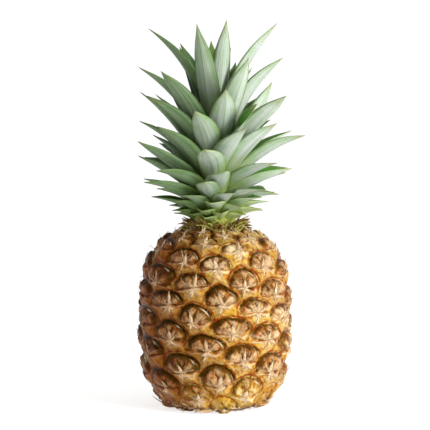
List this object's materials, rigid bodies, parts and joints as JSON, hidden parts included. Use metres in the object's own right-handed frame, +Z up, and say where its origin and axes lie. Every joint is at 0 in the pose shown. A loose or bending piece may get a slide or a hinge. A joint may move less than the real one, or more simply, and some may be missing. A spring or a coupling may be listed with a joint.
{
  "type": "pineapple",
  "caption": "Whole fresh pineapple, upright on its base: a barrel of spiralling eyes with dry bract points under a full crown of channelled leaves.",
  "frame": {"origin": "centre of the cut stalk's face, on the surface that the fruit stands on", "axes": "+Z up the fruit's axis to the crown, -Y the side that the picture shows, +X to its right"},
  "size_m": [0.138, 0.1351, 0.3144],
  "materials": {
    "rind": "waxy golden-brown rind with dry papery bract points",
    "leaf": "tough green leaf under a grey waxy bloom",
    "cut_stalk": "dry fibrous cut end"
  },
  "bodies": {
    "root": {"fruit": "rind", "crown": "leaf", "stalk": "cut_stalk"}
  },
  "joints": []
}
